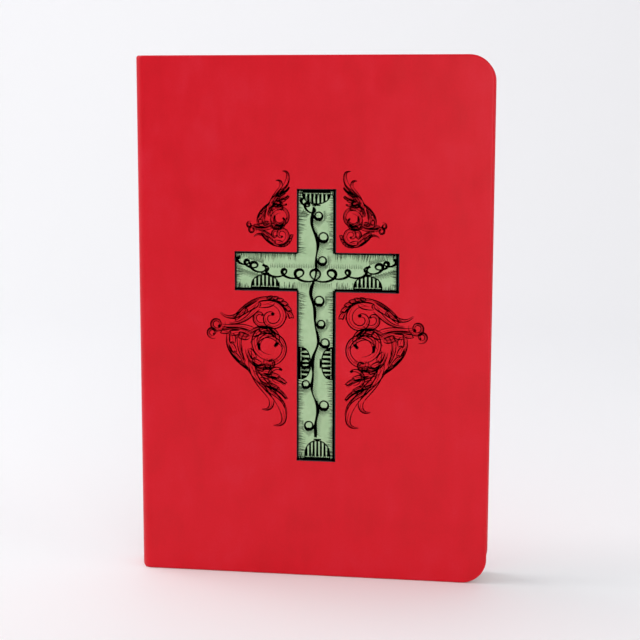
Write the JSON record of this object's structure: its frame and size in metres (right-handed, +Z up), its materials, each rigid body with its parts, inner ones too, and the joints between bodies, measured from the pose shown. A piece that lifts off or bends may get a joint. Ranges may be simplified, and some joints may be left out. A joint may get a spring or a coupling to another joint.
{
  "type": "prayer book",
  "caption": "Slim prayer book in a flexible red leatherette case with a printed cross and scrollwork; covers open on the spine and the sewn leaves fan out with them.",
  "frame": {"origin": "middle of the closed book's footprint, at the height of its tail edges", "axes": "+X from the spine to the fore-edge, +Y from the front cover to the back cover, +Z up from tail to head"},
  "size_m": [0.1424, 0.0169, 0.21],
  "materials": {
    "leatherette": "smooth coated red leatherette with a faint cloudy sheen",
    "card": "uncoated flexible grey card",
    "kraft_paper": "brown kraft lining paper",
    "mull": "open-weave sized cotton mull",
    "glue": "dried pale binding glue",
    "thread": "waxed white sewing thread",
    "head_band_cloth": "red and white striped band cloth",
    "endpaper": "smooth off-white endpaper",
    "leaf_paper": "thin cream book paper",
    "cross_ink": "matt sage-green printing ink with a dark outline",
    "scroll_ink": "matt black printing ink"
  },
  "bodies": {
    "spine": {"spine_skin": "leatherette", "spine_card": "card", "spine_lining": "kraft_paper", "spine_mull": "mull", "spine_glue": "glue", "sewing_threads": "thread", "head_band": "head_band_cloth", "tail_band": "head_band_cloth", "section_06": "leaf_paper", "section_07": "leaf_paper"},
    "front_cover": {"front_skin": "leatherette", "front_card": "card", "front_mull_flap": "mull", "front_pastedown": "endpaper", "cross_print": "cross_ink", "scroll_print": "scroll_ink"},
    "back_cover": {"back_skin": "leatherette", "back_card": "card", "back_mull_flap": "mull", "back_pastedown": "endpaper"},
    "front_flyleaf": {"front_flyleaf": "endpaper"},
    "back_flyleaf": {"back_flyleaf": "endpaper"},
    "section_01": {"section_01": "leaf_paper"},
    "section_02": {"section_02": "leaf_paper"},
    "section_03": {"section_03": "leaf_paper"},
    "section_04": {"section_04": "leaf_paper"},
    "section_05": {"section_05": "leaf_paper"},
    "section_08": {"section_08": "leaf_paper"},
    "section_09": {"section_09": "leaf_paper"},
    "section_10": {"section_10": "leaf_paper"},
    "section_11": {"section_11": "leaf_paper"},
    "section_12": {"section_12": "leaf_paper"}
  },
  "joints": [
    {"name": "front_cover_hinge", "type": "hinge", "parent": "spine", "child": "front_cover", "pos_m": [-0.07008, -0.00728, 0.105], "axis": [0, 0, -1], "range_deg": [0, 175]},
    {"name": "back_cover_hinge", "type": "hinge", "parent": "spine", "child": "back_cover", "pos_m": [-0.07008, 0.00728, 0.105], "axis": [0, 0, 1], "range_deg": [0, 175]},
    {"name": "front_flyleaf_turn", "type": "hinge", "parent": "spine", "child": "front_flyleaf", "pos_m": [-0.06835, -0.00613, 0.105], "axis": [0, 0, -1], "range_deg": [0, 124]},
    {"name": "back_flyleaf_turn", "type": "hinge", "parent": "spine", "child": "back_flyleaf", "pos_m": [-0.06835, 0.00613, 0.105], "axis": [0, 0, 1], "range_deg": [0, 124]},
    {"name": "section_01_turn", "type": "hinge", "parent": "spine", "child": "section_01", "pos_m": [-0.06825, -0.0055, 0.105], "axis": [0, 0, -1], "range_deg": [0, 62]},
    {"name": "section_02_turn", "type": "hinge", "parent": "spine", "child": "section_02", "pos_m": [-0.06825, -0.0045, 0.105], "axis": [0, 0, -1], "range_deg": [0, 48.5]},
    {"name": "section_03_turn", "type": "hinge", "parent": "spine", "child": "section_03", "pos_m": [-0.06825, -0.0035, 0.105], "axis": [0, 0, -1], "range_deg": [0, 36]},
    {"name": "section_04_turn", "type": "hinge", "parent": "spine", "child": "section_04", "pos_m": [-0.06825, -0.0025, 0.105], "axis": [0, 0, -1], "range_deg": [0, 24]},
    {"name": "section_05_turn", "type": "hinge", "parent": "spine", "child": "section_05", "pos_m": [-0.06825, -0.0015, 0.105], "axis": [0, 0, -1], "range_deg": [0, 12]},
    {"name": "section_12_turn", "type": "hinge", "parent": "spine", "child": "section_12", "pos_m": [-0.06825, 0.0055, 0.105], "axis": [0, 0, 1], "range_deg": [0, 62]},
    {"name": "section_11_turn", "type": "hinge", "parent": "spine", "child": "section_11", "pos_m": [-0.06825, 0.0045, 0.105], "axis": [0, 0, 1], "range_deg": [0, 48.5]},
    {"name": "section_10_turn", "type": "hinge", "parent": "spine", "child": "section_10", "pos_m": [-0.06825, 0.0035, 0.105], "axis": [0, 0, 1], "range_deg": [0, 36]},
    {"name": "section_09_turn", "type": "hinge", "parent": "spine", "child": "section_09", "pos_m": [-0.06825, 0.0025, 0.105], "axis": [0, 0, 1], "range_deg": [0, 24]},
    {"name": "section_08_turn", "type": "hinge", "parent": "spine", "child": "section_08", "pos_m": [-0.06825, 0.0015, 0.105], "axis": [0, 0, 1], "range_deg": [0, 12]}
  ],
  "couplings": [
    {"joint": "front_flyleaf_turn", "follows": "front_cover_hinge", "ratio": 0.70857},
    {"joint": "back_flyleaf_turn", "follows": "back_cover_hinge", "ratio": 0.70857},
    {"joint": "section_01_turn", "follows": "front_cover_hinge", "ratio": 0.35428},
    {"joint": "section_02_turn", "follows": "front_cover_hinge", "ratio": 0.27714},
    {"joint": "section_03_turn", "follows": "front_cover_hinge", "ratio": 0.20571},
    {"joint": "section_04_turn", "follows": "front_cover_hinge", "ratio": 0.13714},
    {"joint": "section_05_turn", "follows": "front_cover_hinge", "ratio": 0.06857},
    {"joint": "section_12_turn", "follows": "back_cover_hinge", "ratio": 0.35428},
    {"joint": "section_11_turn", "follows": "back_cover_hinge", "ratio": 0.27714},
    {"joint": "section_10_turn", "follows": "back_cover_hinge", "ratio": 0.20571},
    {"joint": "section_09_turn", "follows": "back_cover_hinge", "ratio": 0.13714},
    {"joint": "section_08_turn", "follows": "back_cover_hinge", "ratio": 0.06857}
  ]
}
